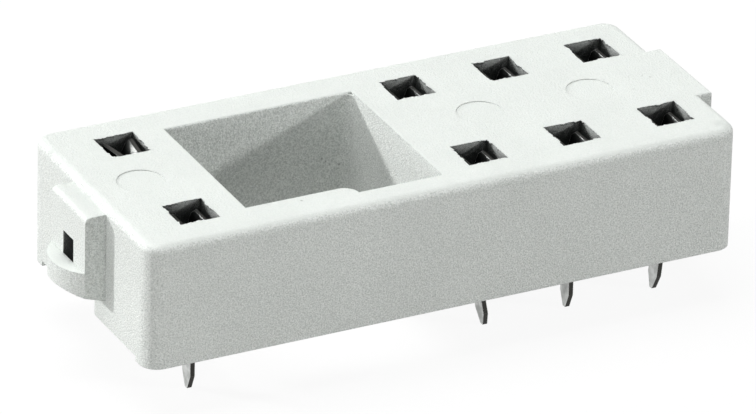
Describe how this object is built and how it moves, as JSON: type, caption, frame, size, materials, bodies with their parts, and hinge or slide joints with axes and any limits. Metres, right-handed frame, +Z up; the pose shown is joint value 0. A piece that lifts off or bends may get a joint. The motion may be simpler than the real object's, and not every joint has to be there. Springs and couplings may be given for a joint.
{
  "type": "relay socket",
  "caption": "Low rectangular circuit-board socket for a plug-in relay: moulded housing with an open window, contact ports on top, sprung contacts, solder tails and end catches for a clip.",
  "frame": {"origin": "middle of the solder-tail grid, on the face of the circuit board that the housing stands on", "axes": "+X from the coil contacts to the switch contacts, +Y to the rear row, +Z up from the board to the relay"},
  "size_m": [0.0335, 0.013, 0.0093],
  "materials": {
    "housing_plastic": "finely eroded moulded thermoplastic, pale grey-white",
    "contact_metal": "rolled and stamped bronze strip with a dull tin plating"
  },
  "bodies": {
    "root": {"housing": "housing_plastic", "coil_contact_a1": "contact_metal", "coil_contact_a2": "contact_metal", "contact_12": "contact_metal", "contact_11": "contact_metal", "contact_14": "contact_metal", "contact_22": "contact_metal", "contact_21": "contact_metal", "contact_24": "contact_metal"}
  },
  "joints": []
}
